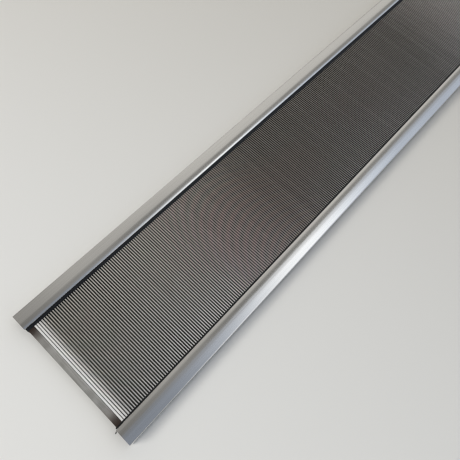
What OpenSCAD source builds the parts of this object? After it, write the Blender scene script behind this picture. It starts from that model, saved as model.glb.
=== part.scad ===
// Weaving reed for a loom: flat steel dents bound between two aluminium baulks.
// The reed lies flat. X runs along the baulks, Y across the opening and Z up.
// The origin is under the middle of the reed, on the surface that it lies on.

/* [Reed] */
// Length of the two baulks
reed_length = 700; // [600:20:800]
// Clear height of the opening between the lips of the two baulks
opening = 100; // [80:5:140]
// Distance from one dent to the next
dent_pitch = 2; // [2:0.05:2.2]

/* [Dents] */
// Thickness of an ordinary dent, along the reed
dent_t = 1; // [0.8:0.05:1]
// Depth of a dent, through the reed
dent_depth = 4.5; // [4:0.1:4.5]
// Thickness of the outermost guard dent
guard_t = 1.5; // [1.2:0.05:1.5]
// Guard dents at each end of the reed
guard_count = 6; // [4:1:8]

/* [Baulks] */
// Width of a baulk, across the reed
baulk_w = 14.25; // [13.75:0.25:18]
// Thickness of a baulk at the middle of its crown
baulk_t = 13.5; // [13.5:0.25:16]
// Radius of the crowned upper and lower faces
crown_r = 38; // [34:1:80]
// Thickness of the wall behind the channel
back_wall = 1.5; // [1:0.25:2]
// Width of the flat land along the middle of each crown, on which the reed lies
land_w = 2; // [1:0.5:4]

/* [End bars] */
// Width of the flat bar that closes each end of the dent field
end_bar_w = 5; // [4:0.5:5]
// Distance from the end of a baulk to its end bar
end_bar_inset = 1; // [0.5:0.25:1]

/* [Binding] */
// Diameter of the core rod in each spacing coil
rod_d = 1.8; // [1.6:0.05:1.8]
// Thickness of the spacing coil's wire
wire_d = 0.96; // [0.7:0.02:0.96]
// Width of the dark resin that shows in front of each lip
resin_band = 1.8; // [1:0.2:3]

/* [Hidden] */
$fn = 48;
half_length = reed_length / 2;
lip_y = opening / 2;
mid_z = baulk_t / 2;

// The channel inside a baulk
channel_t = 10.3;
channel_depth = baulk_w - back_wall;
crown_z = mid_z - sqrt(crown_r * crown_r - land_w * land_w / 4);
crown_drop = mid_z - crown_z - sqrt(crown_r * crown_r - baulk_w * baulk_w / 4);
edge_z = mid_z - crown_drop;
back_chamfer = 0.6;
lip_chamfer = 0.35;

// The dent field fills the length between the two end bars
end_clearance = 0.25;
field_half = half_length - end_bar_inset - end_bar_w - end_clearance - guard_t / 2;
dent_count = floor(2 * field_half / dent_pitch) + 1;
first_x = -(dent_count - 1) * dent_pitch / 2;
plain_count = dent_count - 2 * guard_count;
guard_step = ceil(100 * (guard_t - dent_t) / guard_count) / 100;
section_count = 20;
coil_lengths = 4;
dent_reach = lip_y + channel_depth - 0.25;

// Each coil turn lies round its rod and reaches down between two dents
rod_clearance = 0.05;
turn_clearance = 0.07;
turn_r = rod_d / 2 + turn_clearance + wire_d / 2;
rod_z = dent_depth / 2 + rod_clearance + rod_d / 2;
rod_y = lip_y + 6.1;
rod_half = half_length - end_bar_inset - end_bar_w - end_clearance;

// The resin stands a little proud of the dents and leaves a tunnel for the coils
resin_cover = 0.6;
resin_end = 0.4;
resin_half = half_length - resin_end;
resin_top = dent_depth / 2 + resin_cover;
tunnel_half = turn_r + wire_d / 2 + 0.08;
tunnel_near = rod_y - tunnel_half;
tunnel_far = rod_y + tunnel_half;

// The end of the binding wire lies on the resin behind a lip and is cut off short
tail_d = 1;
tail_y = lip_y + 0.8;
tail_z = mid_z + resin_top + tail_d / 2;
tail_inside = 3;
tail_outside = 2.5;

aluminium = [0.70, 0.71, 0.72];
steel = [0.62, 0.60, 0.57];
dark_steel = [0.43, 0.41, 0.38];
black_resin = [0.07, 0.08, 0.09];

function dent_x(i) = first_x + i * dent_pitch;
function from_end(i) = min(i, dent_count - 1 - i);
function dent_thickness(i) = max(dent_t, guard_t - from_end(i) * guard_step);
function section_start(k) = guard_count + floor(k * plain_count / section_count);
function section_name(k) = str("dents_", k < 9 ? "0" : "", k + 1);
function coil_start(k) = guard_count + floor(k * (plain_count - 1) / coil_lengths);
function coil_name(side, up, k) =
    str("coil_", side > 0 ? "left" : "right", up > 0 ? "_upper_" : "_lower_", k + 1);

// Outline of a flat rolled wire with round edges, standing on its edge
module wire_outline(thickness) {
    straight = dent_depth - thickness;
    square([thickness, straight], center = true);
    for (side = [-1, 1]) translate([0, side * straight / 2]) circle(d = thickness);
}

// Stands an outline in the XZ plane and runs it from y0 to y1, about the middle of the reed's depth
module across(y0, y1) {
    translate([0, y1, mid_z]) rotate([90, 0, 0]) linear_extrude(y1 - y0) children();
}

module dent(i) {
    across(-dent_reach, dent_reach) translate([dent_x(i), 0]) wire_outline(dent_thickness(i));
}

module dent_section(k) {
    color(steel) for (i = [section_start(k):section_start(k + 1) - 1]) dent(i);
}

module guard_dents(start) {
    color(steel) for (i = [start:start + guard_count - 1]) dent(i);
}

module end_bar_outline(side) {
    translate([side * (half_length - end_bar_inset - end_bar_w / 2), 0])
        square([end_bar_w, dent_depth], center = true);
}

module end_bar(side) {
    color(dark_steel) across(-dent_reach, dent_reach) end_bar_outline(side);
}

// Crowned block seen along the baulk, from its lips at 0 to its back
module baulk_outline() {
    back_cut = crown_drop + back_chamfer;
    lip_cut = crown_drop + lip_chamfer;
    half = [[0, edge_z - lip_chamfer], [lip_cut, mid_z],
            [baulk_w - back_cut, mid_z], [baulk_w, edge_z - back_chamfer]];
    lower = [for (i = [3:-1:0]) [half[i].x, -half[i].y]];
    intersection() {
        polygon(concat(half, lower));
        translate([baulk_w / 2, crown_z]) circle(r = crown_r, $fn = 180);
        translate([baulk_w / 2, -crown_z]) circle(r = crown_r, $fn = 180);
    }
}

// Turns a piece made for the baulk at +Y into the one for the given side
module on_side(side) {
    mirror([0, side < 0 ? 1 : 0, 0]) children();
}

module baulk(side) {
    color(aluminium) on_side(side) translate([-half_length, lip_y, mid_z])
        rotate([90, 0, 90]) linear_extrude(reed_length) difference() {
            baulk_outline();
            translate([-1, -channel_t / 2]) square([channel_depth + 1, channel_t]);
        }
}

// Slab of resin from y0 to y1 with a square slot for each dent and for the two end bars
module slotted_slab(y0, y1, half_depth) {
    color(black_resin) across(y0, y1) difference() {
        square([2 * resin_half, 2 * half_depth], center = true);
        for (i = [0:dent_count - 1])
            translate([dent_x(i), 0]) square([dent_thickness(i), dent_depth], center = true);
        for (end = [-1, 1]) end_bar_outline(end);
    }
}

// The resin that shows as a dark band in front of the lip
module resin_front(side) {
    on_side(side) slotted_slab(lip_y - resin_band, tunnel_near, resin_top);
}

// The resin that fills the channel behind the coils
module resin_back(side) {
    on_side(side) slotted_slab(tunnel_far, lip_y + channel_depth, channel_t / 2);
}

// Closes both ends of each coil tunnel round the end bars
module resin_plugs() {
    plug_l = resin_half - rod_half;
    color(black_resin) for (side = [-1, 1], end = [-1, 1])
        on_side(side) across(tunnel_near, tunnel_far) difference() {
            translate([end * (rod_half + plug_l / 2), 0]) square([plug_l, channel_t], center = true);
            end_bar_outline(end);
        }
}

module core_rod(side, up) {
    color(dark_steel) translate([-rod_half, side * rod_y, mid_z + up * rod_z])
        rotate([0, 90, 0]) cylinder(d = rod_d, h = 2 * rod_half);
}

// A ring for each turn of wire, one in each gap between plain dents, along one length of a coil
module coil(side, up, k) {
    color(dark_steel) translate([0, side * rod_y, mid_z + up * rod_z]) rotate([0, 90, 0]) rotate_extrude()
        for (i = [coil_start(k):coil_start(k + 1) - 1])
            translate([turn_r, dent_x(i) + dent_pitch / 2]) square(wire_d, center = true);
}

// The near tail leaves the right baulk and the far one the left baulk
module wire_tail(end) {
    color(dark_steel) translate([end * (half_length + tail_outside), end * tail_y, tail_z])
        rotate([0, -end * 90, 0]) cylinder(d = tail_d, h = tail_inside + tail_outside);
}

baulk(1);  // baulk_left
baulk(-1);  // baulk_right
resin_front(1);  // resin_front_left
resin_front(-1);  // resin_front_right
resin_back(1);  // resin_back_left
resin_back(-1);  // resin_back_right
resin_plugs();
end_bar(-1);  // end_bar_near
end_bar(1);  // end_bar_far
core_rod(1, 1);  // core_rod_left_upper
core_rod(1, -1);  // core_rod_left_lower
core_rod(-1, 1);  // core_rod_right_upper
core_rod(-1, -1);  // core_rod_right_lower
for (side = [1, -1], up = [1, -1], k = [0:coil_lengths - 1])
    coil(side, up, k);
wire_tail(-1);  // wire_tail_near
wire_tail(1);  // wire_tail_far
guard_dents(0);  // guard_dents_near
guard_dents(dent_count - guard_count);  // guard_dents_far
for (k = [0:section_count - 1])
    dent_section(k);
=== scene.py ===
import logging
import math
from dataclasses import dataclass
from enum import Enum

import bpy
import numpy as np
from mathutils import Matrix, Vector


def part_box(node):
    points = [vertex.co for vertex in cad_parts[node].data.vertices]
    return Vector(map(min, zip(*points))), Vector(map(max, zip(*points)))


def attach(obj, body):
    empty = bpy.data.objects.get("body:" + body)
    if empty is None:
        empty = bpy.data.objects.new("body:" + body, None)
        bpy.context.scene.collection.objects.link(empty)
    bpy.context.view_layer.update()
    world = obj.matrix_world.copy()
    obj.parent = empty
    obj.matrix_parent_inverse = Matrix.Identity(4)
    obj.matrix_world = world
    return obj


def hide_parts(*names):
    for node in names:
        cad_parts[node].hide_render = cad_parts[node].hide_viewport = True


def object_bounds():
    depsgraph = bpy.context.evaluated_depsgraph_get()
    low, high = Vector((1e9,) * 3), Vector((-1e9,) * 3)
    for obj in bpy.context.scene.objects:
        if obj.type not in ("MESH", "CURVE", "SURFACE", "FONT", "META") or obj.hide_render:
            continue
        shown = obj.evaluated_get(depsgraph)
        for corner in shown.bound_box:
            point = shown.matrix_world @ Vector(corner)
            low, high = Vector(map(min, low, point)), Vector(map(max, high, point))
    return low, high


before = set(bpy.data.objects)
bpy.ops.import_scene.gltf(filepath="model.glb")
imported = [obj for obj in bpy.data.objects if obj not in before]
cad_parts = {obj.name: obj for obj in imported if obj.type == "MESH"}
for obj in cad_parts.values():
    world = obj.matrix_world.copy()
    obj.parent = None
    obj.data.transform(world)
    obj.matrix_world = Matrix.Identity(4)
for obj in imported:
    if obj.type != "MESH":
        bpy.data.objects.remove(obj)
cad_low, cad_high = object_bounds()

LOG = logging.getLogger("reed")
MM = 0.001
BODY = "root"
FILTER_WIDTH = 1.25


class Side(Enum):
    """The two baulks of the reed, by the sign of their Y."""

    LEFT = 1
    RIGHT = -1


class End(Enum):
    """The two ends of the reed, by the sign of their X."""

    NEAR = -1
    FAR = 1


class Level(Enum):
    """The coils above and below the dents, by the sign of their height over the middle."""

    UPPER = 1
    LOWER = -1


# ---------------------------------------------------------------- mesh helpers


def solids_mesh(name: str, rings: np.ndarray, sharp_degrees: float = 40.0) -> bpy.types.Object:
    """Joins rings of points into closed solids and makes one object of them.

    Point p of ring r is joined to its neighbour on the ring and to the same point of ring r + 1,
    and the first and last ring of each solid are closed by one polygon each. A ring runs
    anticlockwise as seen from the far end of the sweep, so every face points outwards.

    Args:
        name: Name of the object.
        rings: Points in metres, shaped (solids, rings, points, 3).
        sharp_degrees: Edges that turn more than this are shaded sharp.

    Returns:
        The new object, at the origin and linked to the scene.
    """
    solids, count, points, _ = rings.shape
    index = np.arange(solids * count * points).reshape(solids, count, points)
    here, ahead = index[:, :-1, :], index[:, 1:, :]
    quads = np.stack([here, np.roll(here, -1, 2), np.roll(ahead, -1, 2), ahead], axis=-1)
    caps = np.concatenate([index[:, 0, ::-1], index[:, -1, :]])
    mesh = bpy.data.meshes.new(name)
    mesh.from_pydata(rings.reshape(-1, 3).tolist(), [], quads.reshape(-1, 4).tolist() + caps.tolist())
    mesh.polygons.foreach_set("use_smooth", np.ones(len(mesh.polygons), dtype=bool))
    mesh.set_sharp_from_angle(angle=math.radians(sharp_degrees))
    mesh.update()
    piece = bpy.data.objects.new(name, mesh)
    bpy.context.scene.collection.objects.link(piece)
    return piece


def rounded_outline(corners: np.ndarray, radii: np.ndarray, steps: int) -> np.ndarray:
    """Rounds each corner of an outline with an arc that is tangent to both of its sides.

    At a corner with opening angle t the arc's centre lies on the bisector, r / sin(t / 2) away, and
    its direction from the centre turns evenly from one tangent point to the other.

    Args:
        corners: Corners of the outline in order, shaped (corners, 2).
        radii: Radius of each corner's arc.
        steps: Points on each arc.

    Returns:
        The rounded outline, shaped (corners * steps, 2).
    """
    back = np.roll(corners, 1, 0) - corners
    on = np.roll(corners, -1, 0) - corners
    back /= np.linalg.norm(back, axis=1, keepdims=True)
    on /= np.linalg.norm(on, axis=1, keepdims=True)
    half = np.arccos(np.clip((back * on).sum(1), -1, 1))[:, None] / 2
    middle = (back + on) / np.linalg.norm(back + on, axis=1, keepdims=True)
    radius = radii[:, None]
    centre = corners + middle * radius / np.sin(half)
    first = corners + back * radius / np.tan(half) - centre
    last = corners + on * radius / np.tan(half) - centre
    turn = (math.pi - 2 * half)[:, :, None]
    t = np.linspace(0, 1, steps)[None, :, None]
    arc = (np.sin((1 - t) * turn) * first[:, None] + np.sin(t * turn) * last[:, None]) / np.sin(turn)
    return (centre[:, None] + arc).reshape(-1, 2)


def outward(outline: np.ndarray) -> np.ndarray:
    """Finds the directions that point straight out of a closed outline.

    Args:
        outline: Anticlockwise points, shaped (points, 2).

    Returns:
        A unit normal for each point, shaped like the outline.
    """
    along = np.roll(outline, -1, 0) - np.roll(outline, 1, 0)
    normal = np.stack([along[:, 1], -along[:, 0]], axis=1)
    return normal / np.linalg.norm(normal, axis=1, keepdims=True)


def tube_rings(path: np.ndarray, side: np.ndarray, radius: np.ndarray, sides: int) -> np.ndarray:
    """Carries a circle along a path.

    Args:
        path: Points of the path, shaped (points, 3).
        side: A direction for each point that is never along the path, shaped (points, 3).
        radius: Radius at each point.
        sides: Points on the circle.

    Returns:
        Rings shaped (1, points, sides, 3).
    """
    along = np.gradient(path, axis=0)
    along /= np.linalg.norm(along, axis=1, keepdims=True)
    u = side - (side * along).sum(1, keepdims=True) * along
    u /= np.linalg.norm(u, axis=1, keepdims=True)
    v = np.cross(along, u)
    angle = np.linspace(0, 2 * math.pi, sides, endpoint=False)
    circle = np.cos(angle)[None, :, None] * u[:, None] + np.sin(angle)[None, :, None] * v[:, None]
    return (path[:, None] + radius[:, None, None] * circle)[None]


# ---------------------------------------------------------------- finishes


class Wiring:
    """A material's or world's node tree with short calls for the nodes that the finishes use."""

    def __init__(self, tree: bpy.types.NodeTree) -> None:
        """Takes an empty or factory-made tree.

        Args:
            tree: The node tree to fill.
        """
        self.tree = tree

    def add(self, kind: str, **settings: object) -> bpy.types.Node:
        """Adds a node and sets its properties.

        Args:
            kind: The node's type, without the ShaderNode prefix.
            **settings: Properties of the node.

        Returns:
            The new node.
        """
        node = self.tree.nodes.new("ShaderNode" + kind)
        for key, value in settings.items():
            setattr(node, key, value)
        return node

    def feed(self, socket: bpy.types.NodeSocket, value: object) -> None:
        """Links an output to a socket, or sets the socket to a plain value.

        Args:
            socket: The input to fill.
            value: A node's output or a plain value.
        """
        if isinstance(value, bpy.types.NodeSocket):
            self.tree.links.new(value, socket)
        else:
            socket.default_value = value

    def math(self, operation: str, *values: object) -> bpy.types.NodeSocket:
        """One Math node on up to three values.

        Args:
            operation: The node's operation.
            *values: Outputs or numbers, in the order of the node's inputs.

        Returns:
            The result.
        """
        node = self.add("Math", operation=operation)
        for socket, value in zip(node.inputs, values):
            self.feed(socket, value)
        return node.outputs[0]

    def ramp(
        self, value: object, low: float, high: float, to_low: float, to_high: float
    ) -> bpy.types.NodeSocket:
        """Maps low..high smoothly to to_low..to_high, held level outside.

        Args:
            value: The value to map.
            low: Where the change begins.
            high: Where it ends.
            to_low: Result up to the beginning.
            to_high: Result from the end on.

        Returns:
            The mapped value.
        """
        node = self.add("MapRange", interpolation_type="SMOOTHSTEP")
        for socket, item in zip(node.inputs, (value, low, high, to_low, to_high)):
            self.feed(socket, item)
        return node.outputs[0]

    def place(self, stretch: tuple[float, float, float] = (1, 1, 1)) -> bpy.types.NodeSocket:
        """Object coordinates, scaled by a factor along each axis.

        Args:
            stretch: The three factors.

        Returns:
            The scaled coordinates.
        """
        coordinate = self.add("TexCoord")
        mapping = self.add("Mapping")
        self.feed(mapping.inputs["Vector"], coordinate.outputs["Object"])
        mapping.inputs["Scale"].default_value = stretch
        return mapping.outputs[0]

    def axes(self, vector: bpy.types.NodeSocket) -> list[bpy.types.NodeSocket]:
        """The three parts of a vector."""
        node = self.add("SeparateXYZ")
        self.feed(node.inputs[0], vector)
        return list(node.outputs)

    def noise(
        self, vector: bpy.types.NodeSocket, scale: float, detail: float
    ) -> bpy.types.NodeSocket:
        """Noise between 0 and 1.

        Args:
            vector: Where the noise is taken.
            scale: Waves per metre, roughly.
            detail: Octaves of finer noise.

        Returns:
            The noise.
        """
        node = self.add("TexNoise")
        self.feed(node.inputs["Vector"], vector)
        node.inputs["Scale"].default_value = scale
        node.inputs["Detail"].default_value = detail
        return node.outputs[0]

    def blend(self, factor: object, first: object, second: object) -> bpy.types.NodeSocket:
        """A colour mixed from two.

        Args:
            factor: 0 for the first colour, 1 for the second.
            first: An output or a tuple of three.
            second: An output or a tuple of three.

        Returns:
            The mixed colour.
        """
        node = self.add("Mix", data_type="RGBA")
        self.feed(node.inputs["Factor"], factor)
        for socket, value in ((node.inputs[6], first), (node.inputs[7], second)):
            self.feed(socket, (*value, 1.0) if isinstance(value, tuple) else value)
        return node.outputs[2]

    def bump(self, height: bpy.types.NodeSocket, depth: float) -> bpy.types.NodeSocket:
        """A normal from a height field.

        Args:
            height: The height, in units of the depth.
            depth: The depth in metres.

        Returns:
            The normal.
        """
        node = self.add("Bump")
        node.inputs["Distance"].default_value = depth
        self.feed(node.inputs["Height"], height)
        return node.outputs[0]


def new_material(name: str) -> tuple[bpy.types.Material, Wiring, bpy.types.Node]:
    """Makes a node material with an empty Principled shader.

    Args:
        name: Name of the material.

    Returns:
        The material, its wiring and its shader node.
    """
    material = bpy.data.materials.new(name)
    material.use_nodes = True
    return material, Wiring(material.node_tree), material.node_tree.nodes["Principled BSDF"]


def dress(piece: bpy.types.Object, material: bpy.types.Material) -> None:
    """Gives a piece one material and nothing else.

    Args:
        piece: The piece.
        material: Its only material.
    """
    piece.data.materials.clear()
    piece.data.materials.append(material)


@dataclass(frozen=True)
class SatinAluminium:
    """Anodised extruded aluminium: satin, with fine drawing lines along the baulk.

    The right baulk's normals are tilted towards the left, in the shading only, so that its crown
    mirrors the room as if it leaned. Its shape stays upright.
    """

    light: tuple[float, float, float] = (0.74, 0.735, 0.725)
    dark: tuple[float, float, float] = (0.70, 0.695, 0.685)
    roughness: tuple[float, float] = (0.11, 0.15)
    line_depth: float = 0.0012 * MM
    lean: float = 0.026

    def material(self) -> bpy.types.Material:
        """Builds the material.

        Returns:
            The material.
        """
        material, wire, shader = new_material("satin_aluminium")
        lines = wire.noise(wire.place((1, 90, 90)), 20, 3)
        cloud = wire.noise(wire.place((2, 12, 12)), 12, 3)
        mottle = wire.math("MULTIPLY_ADD", lines, 0.7, wire.math("MULTIPLY", cloud, 0.3))
        tone = wire.ramp(mottle, 0.35, 0.65, 0, 1)
        wire.feed(shader.inputs["Base Color"], wire.blend(tone, self.dark, self.light))
        wire.feed(shader.inputs["Roughness"], wire.ramp(cloud, 0.3, 0.7, *self.roughness))
        _, y, _ = wire.axes(wire.place())
        right_y = wire.math("MINIMUM", y, 0.0)
        leaning = wire.math("MULTIPLY", right_y, -self.lean / self.line_depth)
        height = wire.math("ADD", lines, leaning)
        wire.feed(shader.inputs["Normal"], wire.bump(height, self.line_depth))
        shader.inputs["Metallic"].default_value = 1.0
        return material


@dataclass(frozen=True)
class RolledSteel:
    """Flat rolled steel wire: polished rounded edges, and near-black faces that are partly the rolled
    finish and partly painted shade in the gaps between the dents.

    The first guard dents at each end are pale with plating, and their paleness fades into the rest as
    a painted pool of light that enters at the reed's end. The edges' colour is a painted reflection:
    brighter near the ends of the reed and darker along its middle, which stands in for a room that is
    darker over the middle.
    """

    reed: "ReedFrame"
    edge: tuple[float, float, float] = (0.93, 0.885, 0.835)
    # Painted reflection: the edges' darker colour along the middle of the reed.
    edge_painted_dim: tuple[float, float, float] = (0.34, 0.32, 0.295)
    # Near-black faces: partly the rolled finish, partly painted shade in the gaps between dents.
    face: tuple[float, float, float] = (0.012, 0.011, 0.010)
    # Pale plating of the guard dents, with a painted pool of light from the reed's end.
    plated_and_painted_light: tuple[float, float, float] = (0.92, 0.91, 0.885)
    roughness: tuple[float, float] = (0.28, 0.36)
    edge_reach: tuple[float, float] = (0.45 * MM, 0.25 * MM)
    plated_and_painted_light_reach: tuple[float, float] = (19 * MM, 6 * MM)
    plated_and_painted_light_metallic: float = 0.35
    painted_reflection_span: tuple[float, float] = (90 * MM, 270 * MM)
    unevenness: float = 0.16
    grain_depth: float = 0.002 * MM

    def material(self) -> bpy.types.Material:
        """Builds the material.

        Returns:
            The material.
        """
        material, wire, shader = new_material("rolled_steel")
        x, _, z = wire.axes(wire.place())
        drawn = wire.noise(wire.place((40, 1, 40)), 60, 3)
        each = wire.noise(wire.place((1, 0.02, 0.02)), 185, 1)
        uneven = wire.math("MULTIPLY_ADD", each, 0.6, wire.math("MULTIPLY", drawn, 0.4))
        along = wire.math("ABSOLUTE", x)
        # Painted reflection: the edges run from the darker colour along the middle to the brighter
        # one near both ends.
        bright = wire.ramp(along, *self.painted_reflection_span, 0, 1)
        swing = wire.ramp(uneven, 0.35, 0.65, -0.5, 0.5)
        tone = wire.math("MULTIPLY_ADD", swing, self.unevenness, bright)
        height = wire.math("ABSOLUTE", wire.math("SUBTRACT", z, self.reed.mid_z))
        inward, outward_to = (self.reed.dent_depth / 2 - reach for reach in self.edge_reach)
        # Share of edge over face; the faces' near-black colour is partly painted shade in the gaps.
        edge_share = wire.ramp(height, inward, outward_to, 0, 1)
        plain = wire.blend(edge_share, self.face, wire.blend(tone, self.edge_painted_dim, self.edge))
        # The guard dents' plating, fading inwards as a painted pool of light that enters at the
        # reed's end.
        first, last = (self.reed.half_length - reach for reach in self.plated_and_painted_light_reach)
        guard = wire.ramp(along, first, last, 0, 1)
        wire.feed(shader.inputs["Base Color"], wire.blend(guard, plain, self.plated_and_painted_light))
        wire.feed(shader.inputs["Metallic"], wire.ramp(guard, 0, 1, 1.0, self.plated_and_painted_light_metallic))
        wire.feed(shader.inputs["Roughness"], wire.ramp(drawn, 0.3, 0.7, *self.roughness))
        wire.feed(shader.inputs["Normal"], wire.bump(drawn, self.grain_depth))
        return material


@dataclass(frozen=True)
class DullSteel:
    """Dull grey-brown strip that turns dark red-brown and less metallic towards both of its ends near
    the resin.
    """

    light: tuple[float, float, float] = (0.58, 0.565, 0.53)
    dark: tuple[float, float, float] = (0.46, 0.445, 0.41)
    end_darkening: tuple[float, float, float] = (0.028, 0.017, 0.012)
    end_darkening_reach: tuple[float, float] = (24 * MM, 48 * MM)
    end_darkening_wander: float = 3.2 * MM
    grain_depth: float = 0.006 * MM

    def material(self) -> bpy.types.Material:
        """Builds the material.

        Returns:
            The material.
        """
        material, wire, shader = new_material("dull_steel")
        place = wire.place()
        cloud = wire.noise(place, 160, 5)
        grain = wire.noise(wire.place((30, 1.5, 30)), 50, 4)
        tone = wire.math("MULTIPLY", wire.math("ADD", cloud, grain), 0.5)
        main_colour = wire.blend(wire.ramp(tone, 0.38, 0.6, 0, 1), self.dark, self.light)
        along = wire.math("ABSOLUTE", wire.axes(place)[1])
        inner = wire.math("SUBTRACT", along, self.end_darkening_wander / 2)
        reach = wire.math("MULTIPLY_ADD", wire.noise(place, 420, 4), self.end_darkening_wander, inner)
        # Darker red-brown and less metallic towards both ends of the bar, with a wandering edge.
        end_darkened = wire.ramp(reach, *self.end_darkening_reach, 0, 1)
        wire.feed(shader.inputs["Base Color"], wire.blend(end_darkened, main_colour, self.end_darkening))
        wire.feed(shader.inputs["Metallic"], wire.ramp(end_darkened, 0.1, 0.8, 0.75, 0.0))
        wire.feed(shader.inputs["Roughness"], wire.ramp(cloud, 0.3, 0.7, 0.38, 0.52))
        wire.feed(shader.inputs["Normal"], wire.bump(grain, self.grain_depth))
        return material


@dataclass(frozen=True)
class DrawnWire:
    """Plain drawn steel wire of the rods, coils and cut ends."""

    colour: tuple[float, float, float] = (0.36, 0.34, 0.32)
    dark: tuple[float, float, float] = (0.22, 0.205, 0.19)

    def material(self) -> bpy.types.Material:
        """Builds the material.

        Returns:
            The material.
        """
        material, wire, shader = new_material("drawn_wire")
        cloud = wire.noise(wire.place((1, 3, 3)), 300, 4)
        tone = wire.ramp(cloud, 0.35, 0.65, 0, 1)
        wire.feed(shader.inputs["Base Color"], wire.blend(tone, self.dark, self.colour))
        wire.feed(shader.inputs["Roughness"], wire.ramp(cloud, 0.3, 0.7, 0.35, 0.5))
        shader.inputs["Metallic"].default_value = 1.0
        return material


@dataclass(frozen=True)
class CastResin:
    """Black casting resin with a low uneven gloss."""

    black: tuple[float, float, float] = (0.004, 0.005, 0.006)
    grey: tuple[float, float, float] = (0.012, 0.014, 0.016)
    pit_depth: float = 0.04 * MM

    def material(self) -> bpy.types.Material:
        """Builds the material.

        Returns:
            The material.
        """
        material, wire, shader = new_material("cast_resin")
        cloud = wire.noise(wire.place(), 500, 5)
        tone = wire.ramp(cloud, 0.35, 0.7, 0, 1)
        wire.feed(shader.inputs["Base Color"], wire.blend(tone, self.black, self.grey))
        wire.feed(shader.inputs["Roughness"], wire.ramp(cloud, 0.3, 0.7, 0.34, 0.55))
        wire.feed(shader.inputs["Normal"], wire.bump(cloud, self.pit_depth))
        shader.inputs["Specular IOR Level"].default_value = 0.35
        return material


@dataclass(frozen=True)
class PaleTable:
    """Pale matt table top, turned darker and warmer towards its far left by a painted shade.

    Under the dents its colour is darker, which stands in for shade that is deeper than the window
    leaves between them.
    """

    cool: tuple[float, float, float] = (0.745, 0.74, 0.715)
    # Painted shade: the darker, warmer colour of the table's far left.
    warm: tuple[float, float, float] = (0.675, 0.65, 0.595)
    under_reed: tuple[float, float, float] = (0.30, 0.275, 0.245)
    shade_sides: tuple[float, float] = (50 * MM, 58 * MM)
    shade_ends: tuple[float, float] = (343 * MM, 348 * MM)
    grain_depth: float = 0.02 * MM

    def material(self) -> bpy.types.Material:
        """Builds the material.

        Returns:
            The material.
        """
        material, wire, shader = new_material("pale_table")
        place = wire.place()
        x, y, _ = wire.axes(place)
        # Painted shade: the table darkens and warms towards its far left.
        painted_shade_share = wire.ramp(wire.math("MULTIPLY_ADD", y, 0.5, x), -0.4, 0.3, 0, 1)
        beyond_lips = wire.ramp(wire.math("ABSOLUTE", y), *self.shade_sides, 0, 1)
        beyond_ends = wire.ramp(wire.math("ABSOLUTE", x), *self.shade_ends, 0, 1)
        clear = wire.math("MAXIMUM", beyond_lips, beyond_ends)
        open_table = wire.blend(painted_shade_share, self.cool, self.warm)
        wire.feed(shader.inputs["Base Color"], wire.blend(clear, self.under_reed, open_table))
        wire.feed(shader.inputs["Normal"], wire.bump(wire.noise(place, 300, 3), self.grain_depth))
        shader.inputs["Roughness"].default_value = 0.55
        shader.inputs["Specular IOR Level"].default_value = 0.25
        return material


# ---------------------------------------------------------------- pieces


@dataclass(frozen=True)
class ReedFrame:
    """Places read from the CAD frame, in metres."""

    half_length: float
    lip_y: float
    back_y: float
    baulk_t: float
    dent_low: float
    dent_high: float
    dent_reach: float

    @classmethod
    def read(cls) -> "ReedFrame":
        """Reads the boxes of a baulk and of a dent section.

        Returns:
            The places that the pieces are built from.
        """
        low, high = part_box("baulk_left")
        dent_low, dent_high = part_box("dents_01")
        return cls(high[0], low[1], high[1], cad_high[2], dent_low[2], dent_high[2], dent_high[1])

    @property
    def mid_z(self) -> float:
        """Height of the middle of the reed's depth."""
        return (self.dent_low + self.dent_high) / 2

    @property
    def dent_depth(self) -> float:
        """Depth of a dent."""
        return self.dent_high - self.dent_low


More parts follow.
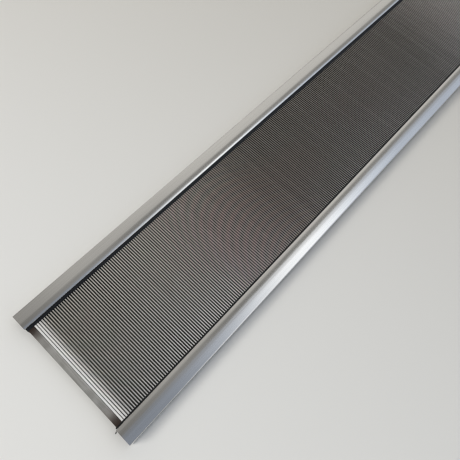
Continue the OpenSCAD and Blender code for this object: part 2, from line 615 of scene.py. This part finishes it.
@dataclass
class Baulk:
    """Extruded channel with crowned faces, round lips and sawn ends."""

    reed: ReedFrame
    side: Side
    channel_half: float = 5.15 * MM
    back_wall: float = 1.5 * MM
    crown_radius: float = 38 * MM
    land_half: float = 1 * MM
    saw_bevel: float = 0.15 * MM
    mouth_radius: float = 0.3 * MM
    lip_radius: float = 0.55 * MM
    back_radius: float = 0.9 * MM
    floor_radius: float = 0.5 * MM
    face_margins: tuple[float, float] = (1.2 * MM, 1.4 * MM)
    corner_steps: int = 7
    face_steps: int = 17

    def outline(self) -> np.ndarray:
        """Section with Y as its first axis and the height over the middle as its second.

        A rounded channel is drawn with flat faces first. Each outer point is then lowered by the
        crown's drop, R - sqrt(R^2 - d^2) at distance d from the middle of the face, in proportion
        to how far the point lies outside the channel.

        Returns:
            Anticlockwise points, shaped (points, 2).
        """
        lip, back, half = self.reed.lip_y, self.reed.back_y, self.reed.baulk_t / 2
        floor, inner = back - self.back_wall, self.channel_half
        near_lip, near_back = self.face_margins
        face = np.linspace(lip + near_lip, back - near_back, self.face_steps)
        upper = np.stack([face, np.full_like(face, half)], axis=1)[::-1]
        lower = upper[::-1] * (1, -1)
        lower_half = [(floor, -inner), (lip, -inner), (lip, -half), (back, -half)]
        upper_half = [(y, -z) for y, z in lower_half[::-1]]
        corners = np.roll(np.array(lower_half + upper_half), -1, 0)
        one_half = [self.mouth_radius, self.lip_radius, self.back_radius]
        radii = np.array(one_half + one_half[::-1] + [self.floor_radius] * 2)
        arcs = rounded_outline(corners, radii, self.corner_steps).reshape(len(corners), -1, 2)
        points = np.concatenate([*arcs[:2], lower, *arcs[2:4], upper, *arcs[4:]])
        away = np.maximum(np.abs(points[:, 0] - (lip + back) / 2) - self.land_half, 0)
        drop = self.crown_radius - np.sqrt(self.crown_radius**2 - away**2)
        share = np.clip((np.abs(points[:, 1]) - inner) / (half - inner), 0, 1)
        points[:, 1] -= np.sign(points[:, 1]) * drop * share
        return points

    def build(self) -> bpy.types.Object:
        """Carries the section along X, drawn in by the bevel at each sawn end.

        Returns:
            The baulk.
        """
        section = self.outline()
        drawn_in = section - outward(section) * self.saw_bevel
        x = self.reed.half_length
        stations = np.array([-x, -x + self.saw_bevel, -x / 3, x / 3, x - self.saw_bevel, x])
        sections = np.stack([drawn_in] + [section] * 4 + [drawn_in])
        rings = np.empty((1, *sections.shape[:2], 3))
        rings[0, :, :, 0] = stations[:, None]
        rings[0, :, :, 1] = sections[:, :, 0] * self.side.value
        rings[0, :, :, 2] = sections[:, :, 1] + self.reed.mid_z
        if self.side is Side.RIGHT:
            rings = rings[:, :, ::-1]
        return solids_mesh("baulk_" + self.side.name.lower() + "_extruded", rings, 30)


@dataclass
class DentSection:
    """A run of dents, each a flat rolled wire with rounded edges and a slight set of its own."""

    reed: ReedFrame
    node: str
    pitch: float = 2 * MM
    edge_steps: int = 9
    stations: int = 6
    squareness: float = 8.0
    lean: float = 0.003 * MM
    bow: float = 0.004 * MM
    guard_thick: float = 1.5 * MM
    plain_thick: float = 1.0 * MM
    guard_step: float = 0.09 * MM
    guards: int = 6

    def places(self) -> tuple[np.ndarray, np.ndarray]:
        """Centres and thicknesses of the section's dents, from its CAD box.

        A guard section's outermost dent is the thick one, and each dent further in is thinner by
        the same step.

        Returns:
            The centres along X and the thicknesses.
        """
        low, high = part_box(self.node)
        if self.node.startswith("dents"):
            centres = np.arange(low[0] + self.plain_thick / 2, high[0], self.pitch)
            return centres, np.full(len(centres), self.plain_thick)
        order = np.arange(self.guards)
        thick = self.guard_thick - self.guard_step * order
        if self.node.endswith("near"):
            return low[0] + self.guard_thick / 2 + self.pitch * order, thick
        return high[0] - self.guard_thick / 2 - self.pitch * order[::-1], thick[::-1]

    def build(self) -> bpy.types.Object:
        """Carries each dent's outline along Y with a slight bow of half a wave between the baulks.

        The edges are superellipses, with |x / r|^n + |z / r|^n = 1 and n the squareness, so a
        point at angle a lies at r * sin(a)^(2 / n) aside and r * cos(a)^(2 / n) up.

        Returns:
            The section's dents.
        """
        centres, thick = self.places()
        rng = np.random.default_rng(int(abs(centres[0]) * 1e5) + 7)
        count = len(centres)
        angle = np.linspace(-math.pi / 2, math.pi / 2, self.edge_steps)
        # The upper edge runs from the -X face to the +X face, and the lower edge runs back.
        power = 2 / self.squareness
        aside = np.sign(np.sin(angle)) * np.abs(np.sin(angle)) ** power
        edge_height = np.clip(np.cos(angle), 0, 1) ** power
        across = np.concatenate([aside, -aside])
        edge = np.concatenate([edge_height, -edge_height])
        radius = thick[:, None] / 2
        straight = self.reed.dent_depth / 2 - radius
        section_x = radius * across
        section_z = edge * radius + np.sign(np.repeat([1, -1], self.edge_steps)) * straight
        y = np.linspace(-1, 1, self.stations) * self.reed.dent_reach
        wave = np.cos(y / self.reed.lip_y * math.pi / 2).clip(0)
        shift = rng.uniform(-1, 1, (count, 1)) * self.bow * wave
        height = section_z[:, None, :] / straight[:, None, :]
        tilt = rng.uniform(-1, 1, (count, 1, 1)) * self.lean * height
        rings = np.empty((count, self.stations, 2 * self.edge_steps, 3))
        set_aside = shift[:, :, None] + tilt * wave[None, :, None]
        rings[..., 0] = centres[:, None, None] + section_x[:, None, :] + set_aside
        rings[..., 1] = y[None, :, None]
        rings[..., 2] = self.reed.mid_z + section_z[:, None, :]
        return solids_mesh(self.node + "_rolled", rings, 60)


@dataclass
class EndBar:
    """Flat bar with eased edges that closes the end of the dent field."""

    end: End
    edge_radius: float = 0.45 * MM
    corner_steps: int = 6
    stations: int = 9

    def build(self) -> bpy.types.Object:
        """Carries a rounded rectangle along Y.

        Returns:
            The bar.
        """
        low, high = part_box("end_bar_" + self.end.name.lower())
        xs = [low[0], low[0], high[0], high[0]]
        zs = [low[2], high[2], high[2], low[2]]
        radii = np.full(len(xs), self.edge_radius)
        section = rounded_outline(np.stack([xs, zs], axis=1), radii, self.corner_steps)
        y = np.linspace(low[1], high[1], self.stations)
        rings = np.empty((1, self.stations, len(section), 3))
        rings[0, :, :, 0] = section[:, 0]
        rings[0, :, :, 1] = y[:, None]
        rings[0, :, :, 2] = section[:, 1]
        return solids_mesh("end_bar_" + self.end.name.lower() + "_strip", rings)


@dataclass
class Resin:
    """Resin cast into a baulk, with a hollow skin that climbs from the dents to the lip."""

    reed: ReedFrame
    side: Side
    pitch: float = 2 * MM
    band: float = 1.8 * MM
    comb: float = 0.3 * MM
    wander: float = 0.06 * MM
    wander_lengths: tuple[float, float, float] = (11 * MM, 4.3 * MM, 2.7 * MM)
    cover: float = 0.12 * MM
    roof: float = 5.1 * MM
    climb: float = 1.6 * MM
    back: float = 12.7 * MM
    per_pitch: int = 4
    skin_steps: int = 9

    def build(self) -> bpy.types.Object:
        """Carries a section along X whose front edge waves with the dents.

        The front edge lies the band's width before the lip, and the skin climbs from the dents'
        edges to the channel's roof as the square of the way in. The front edge steps out and back
        once per pitch, and wanders slowly along the reed.

        Returns:
            The resin of one baulk.
        """
        low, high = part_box("resin_front_" + self.side.name.lower())
        count = int((high[0] - low[0]) / self.pitch) * self.per_pitch + 1
        x = np.linspace(low[0], high[0], count)
        rng = np.random.default_rng(11 + self.side.value)
        waves = zip(self.wander_lengths, rng.uniform(0, 6, 3))
        slow = sum(np.sin(x / length + phase) for length, phase in waves) / 3
        teeth = self.comb * (np.cos(2 * math.pi * x / self.pitch) + 1) / 2
        front = self.reed.lip_y - self.band + teeth + self.wander * (slow + 1)
        way = np.linspace(0, 1, self.skin_steps)
        start = self.reed.dent_depth / 2 + self.cover
        inside = self.reed.lip_y + self.climb
        skin_y = front[:, None] + way * (inside - front[:, None])
        skin_z = np.broadcast_to(start + (self.roof - start) * way**2, skin_y.shape)
        back = np.full((count, 1), self.reed.lip_y + self.back)
        roof = np.full((count, 1), self.roof)
        section_y = np.concatenate([back, skin_y[:, ::-1], skin_y, back], axis=1)
        section_z = np.concatenate([roof, skin_z[:, ::-1], -skin_z, -roof], axis=1)
        section_x = np.broadcast_to(x[:, None], section_y.shape)
        parts = [section_x, section_y * self.side.value, section_z + self.reed.mid_z]
        rings = np.stack(parts, axis=-1)[None]
        if self.side is Side.RIGHT:
            rings = rings[:, :, ::-1]
        return solids_mesh("resin_" + self.side.name.lower() + "_cast", rings, 50)


@dataclass
class SpacingCoil:
    """Helical spring round a core rod that drops one turn into each gap between dents."""

    side: Side
    level: Level
    pitch: float = 2 * MM
    wire: float = 0.96 * MM
    dwell: float = 0.9
    per_turn: int = 14
    sides: int = 6

    @property
    def name(self) -> str:
        """Name that the coil shares with the CAD nodes of its lengths."""
        return f"coil_{self.side.name.lower()}_{self.level.name.lower()}"

    @property
    def nodes(self) -> list[str]:
        """CAD nodes of the coil's lengths, from the near end on."""
        return sorted(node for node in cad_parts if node.startswith(self.name + "_"))

    def build(self) -> bpy.types.Object:
        """Winds the coil.

        With u in turns, the wire lies at angle 2 pi u from the side towards the dents, and its
        place along X is pitch * (u - dwell * sin(2 pi u) / (2 pi)), so it hardly moves along the reed
        while it is between two dents and crosses the dents' edges on the far side of the rod.

        Returns:
            The coil.
        """
        low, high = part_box(self.nodes[0])[0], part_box(self.nodes[-1])[1]
        radius = (high[1] - low[1]) / 2 - self.wire / 2
        turns = round((high[0] - low[0] - self.wire) / self.pitch)
        u = np.linspace(0, turns, turns * self.per_turn + 1)
        angle = 2 * math.pi * u
        towards = -self.level.value
        x = low[0] + self.wire / 2 + self.pitch * (u - self.dwell * np.sin(angle) / (2 * math.pi))
        radial = np.stack([np.zeros_like(u), np.sin(angle), towards * np.cos(angle)], axis=1)
        axis_y, axis_z = ((low[i] + high[i]) / 2 for i in (1, 2))
        axis = np.stack([x, np.full_like(x, axis_y), np.full_like(x, axis_z)], axis=1)
        path = axis + radius * radial
        rings = tube_rings(path, radial, np.full(len(u), self.wire / 2), self.sides)
        return solids_mesh(self.name + "_wound", rings, 75)


@dataclass
class WireTail:
    """Cut end of the binding wire, bent over where it leaves the resin."""

    reed: ReedFrame
    end: End
    bend: float = 0.5 * MM
    bend_from: float = 2 * MM
    shorter: float = 0.6 * MM
    droop: float = 0.3
    thinner: float = 0.96
    stations: int = 22
    sides: int = 16

    def build(self) -> bpy.types.Object:
        """Carries the wire along a straight line that turns aside over its last stretch.

        Past the baulk's end the path leaves the line by bend * s^2, with s the way out in units
        of bend_from, and drops by a share of that.

        Returns:
            The wire's end.
        """
        low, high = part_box("wire_tail_" + self.end.name.lower())
        radius = (high[2] - low[2]) / 2
        way = self.end.value
        start, tip = (low[0], high[0]) if way > 0 else (high[0], low[0])
        x = np.linspace(start, tip - way * self.shorter, self.stations)
        s = np.clip((np.abs(x) - self.reed.half_length) / self.bend_from, 0, None)
        aside = self.bend * s**2
        y = (low[1] + high[1]) / 2 + way * aside
        z = (low[2] + high[2]) / 2 - self.droop * aside
        path = np.stack([x, y, z], axis=1)
        up = np.broadcast_to(np.array([0.0, 0.0, 1.0]), path.shape)
        rings = tube_rings(path, up, np.full(len(x), radius * self.thinner), self.sides)
        return solids_mesh("wire_tail_" + self.end.name.lower() + "_bent", rings, 50)


# ---------------------------------------------------------------- studio


@dataclass(frozen=True)
class RoomLight:
    """Light from all round, by the slopes of a direction: x / z along the reed and y / z across it.

    A ceiling panel with a straight edge is bright around one slope along the reed. Past a dark
    frame lies a duller warm ceiling, and the room behind the near end is dark. Each value of four
    is a ramp: from, to, level before and level after.
    """

    lowest: float = 0.05
    peak_at: float = 0.44
    peak_width: float = 0.26
    peak_level: float = 0.95
    panel_fill: tuple[float, float, float, float] = (0.3, 0.8, 0.34, 0.7)
    panel_edge: tuple[float, float, float, float] = (0.125, 0.16, 1, 0)
    ceiling_near: tuple[float, float, float, float] = (-0.15, 0.05, 0.34, 0.5)
    ceiling_far: tuple[float, float, float, float] = (0.05, 0.6, 0, 0.17)
    gap_at: float = 0.24
    gap_edge: tuple[float, float, float, float] = (0.06, 0.16, 0, 1)
    gap_level: tuple[float, float, float, float] = (0.0, 0.3, 0.62, 0.42)
    behind: tuple[float, float, float, float] = (-1.0, -0.2, 0.08, 1)
    beyond: tuple[float, float, float, float] = (1.2, 4.0, 1, 0.35)
    panel_blue: tuple[float, float, float] = (0.78, 0.86, 1.0)
    panel_white: tuple[float, float, float] = (0.96, 0.98, 1.0)
    ceiling_warm: tuple[float, float, float] = (1.0, 0.975, 0.92)

    def peak(self, wire: Wiring, along: bpy.types.NodeSocket) -> bpy.types.NodeSocket:
        """The panel's bright place, exp(-((along - peak_at) / peak_width)^2).

        Args:
            wire: The world's wiring.
            along: Slope along the reed.

        Returns:
            A level from 0 to 1.
        """
        off = wire.math("DIVIDE", wire.math("SUBTRACT", along, self.peak_at), self.peak_width)
        return wire.math("EXPONENT", wire.math("MULTIPLY", wire.math("MULTIPLY", off, off), -1.0))

    def frame(
        self, wire: Wiring, along: bpy.types.NodeSocket, across: bpy.types.NodeSocket
    ) -> bpy.types.NodeSocket:
        """The dark frame between the panel and the ceiling.

        Args:
            wire: The world's wiring.
            along: Slope along the reed.
            across: Slope across it.

        Returns:
            The share of the light that is left.
        """
        level = wire.ramp(along, *self.gap_level)
        aside = wire.math("ABSOLUTE", wire.math("SUBTRACT", across, self.gap_at))
        lost = wire.math("SUBTRACT", 1.0, level)
        return wire.math("MULTIPLY_ADD", wire.ramp(aside, *self.gap_edge), lost, level)

    def build(self) -> None:
        """Makes the world and wires its colour and strength."""
        world = bpy.data.worlds.new("room_light")
        bpy.context.scene.world = world
        world.use_nodes = True
        wire = Wiring(world.node_tree)
        background = world.node_tree.nodes["Background"]
        x, y, z = wire.axes(wire.add("TexCoord").outputs["Generated"])
        height = wire.math("MAXIMUM", z, self.lowest)
        along, across = (wire.math("DIVIDE", part, height) for part in (x, y))
        peak = self.peak(wire, along)
        panel = wire.math("MULTIPLY_ADD", peak, self.peak_level, wire.ramp(along, *self.panel_fill))
        near, far = (wire.ramp(along, *step) for step in (self.ceiling_near, self.ceiling_far))
        ceiling = wire.math("ADD", near, far)
        under_panel = wire.ramp(across, *self.panel_edge)
        past_panel = wire.math("SUBTRACT", 1.0, under_panel)
        from_ceiling = wire.math("MULTIPLY", past_panel, ceiling)
        light = wire.math("MULTIPLY_ADD", under_panel, panel, from_ceiling)
        dimmed = wire.math(
            "MULTIPLY", wire.ramp(along, *self.behind), wire.ramp(along, *self.beyond)
        )
        shaded = wire.math("MAXIMUM", self.frame(wire, along, across), under_panel)
        level = wire.math("MULTIPLY", wire.math("MULTIPLY", light, shaded), dimmed)
        cool = wire.blend(peak, self.panel_blue, self.panel_white)
        wire.feed(background.inputs["Color"], wire.blend(under_panel, self.ceiling_warm, cool))
        wire.feed(background.inputs["Strength"], level)


@dataclass
class Studio:
    """Pale table, window and camera."""

    reed: ReedFrame
    table_half: float = 2.5
    lens: float = 34.28
    sensor: float = 36.0
    clip_start: float = 0.01
    eye: tuple[float, float, float] = (43.2 * MM, -83.6 * MM, 341.2 * MM)
    right: tuple[float, float, float] = (0.6762, -0.7330, 0.0743)
    up: tuple[float, float, float] = (0.6566, 0.6453, 0.3904)
    window_size: tuple[float, float] = (1.2, 0.7)
    window_power: float = 38.0
    window_colour: tuple[float, float, float] = (1.0, 0.985, 0.96)
    window_at: tuple[float, float, float] = (-1.75, 0.5, 1.5)
    window_aim: tuple[float, float, float] = (-0.4, 0, 0)

    def table(self) -> bpy.types.Object:
        """Lays a large flat table top just under the reed.

        Returns:
            The table top.
        """
        edge = self.table_half
        mesh = bpy.data.meshes.new("table_top")
        corners = [(-edge, -edge, 0), (edge, -edge, 0), (edge, edge, 0), (-edge, edge, 0)]
        mesh.from_pydata(corners, [], [(0, 1, 2, 3)])
        table = bpy.data.objects.new("table_top", mesh)
        bpy.context.scene.collection.objects.link(table)
        dress(table, PaleTable().material())
        return table

    def camera(self) -> bpy.types.Object:
        """Places the camera from the near end of the reed and the dents' upper edges.

        Returns:
            The camera.
        """
        data = bpy.data.cameras.new("camera")
        data.lens = self.lens
        data.sensor_width = self.sensor
        data.clip_start = self.clip_start
        camera = bpy.data.objects.new("camera", data)
        bpy.context.scene.collection.objects.link(camera)
        right, up = Vector(self.right).normalized(), Vector(self.up)
        up = (up - up.dot(right) * right).normalized()
        turn = Matrix((right, up, right.cross(up))).transposed().to_4x4()
        x, y, z = self.eye
        place = (x - self.reed.half_length, y, z + self.reed.dent_high)
        camera.matrix_world = Matrix.Translation(place) @ turn
        bpy.context.scene.camera = camera
        return camera

    def window(self) -> bpy.types.Object:
        """Sets a broad window high over the near end, for the soft narrow shadow on the -Y side.

        Returns:
            The window's light.
        """
        data = bpy.data.lights.new("window", "AREA")
        data.shape = "RECTANGLE"
        data.size, data.size_y = self.window_size
        data.energy = self.window_power
        data.color = self.window_colour
        light = bpy.data.objects.new("window", data)
        bpy.context.scene.collection.objects.link(light)
        light.visible_glossy = False
        place = Vector(self.window_at)
        turn = (Vector(self.window_aim) - place).to_track_quat("-Z", "Y").to_matrix().to_4x4()
        light.matrix_world = Matrix.Translation(place) @ turn
        return light


# ---------------------------------------------------------------- assembly


def add_piece(piece: bpy.types.Object, material: bpy.types.Material, slot: str, *nodes: str) -> None:
    """Dresses a new piece and ties it to the frame.

    Args:
        piece: The new piece.
        material: Its material.
        slot: Not used.
        *nodes: CAD nodes that the piece stands for.
    """
    dress(piece, material)
    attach(piece, BODY)
    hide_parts(*nodes)
    LOG.info("%s: %d faces, for %s", piece.name, len(piece.data.polygons), ", ".join(nodes))


def main() -> None:
    """Builds the reed's pieces in order and sets the studio round them."""
    logging.basicConfig(level=logging.INFO, format="%(message)s")
    bpy.context.scene.cycles.filter_width = FILTER_WIDTH
    bpy.context.scene.view_settings.view_transform = "Standard"
    reed = ReedFrame.read()
    aluminium = SatinAluminium().material()
    steel = RolledSteel(reed).material()
    dull = DullSteel().material()
    wire = DrawnWire().material()
    resin = CastResin().material()
    studio = Studio(reed)
    studio.camera()
    studio.table()
    RoomLight().build()
    studio.window()
    for side in Side:
        name = side.name.lower()
        add_piece(Baulk(reed, side).build(), aluminium, "baulk_aluminium", "baulk_" + name)
        cast = ("resin_front_" + name, "resin_back_" + name, "resin_plugs")
        add_piece(Resin(reed, side).build(), resin, "black_resin", *cast)
        for level in Level:
            coil = SpacingCoil(side, level)
            add_piece(coil.build(), wire, "binding_steel", *coil.nodes)
    for end in End:
        name = end.name.lower()
        add_piece(EndBar(end).build(), dull, "end_bar_steel", "end_bar_" + name)
        add_piece(WireTail(reed, end).build(), wire, "binding_steel", "wire_tail_" + name)
    for node in sorted(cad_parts):
        if node.startswith(("dents_", "guard_dents_")):
            add_piece(DentSection(reed, node).build(), steel, "dent_steel", node)
        elif node.startswith("core_rod_"):
            dress(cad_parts[node], wire)
            LOG.info("%s: kept from the frame", node)


if __name__ == "__main__":
    main()
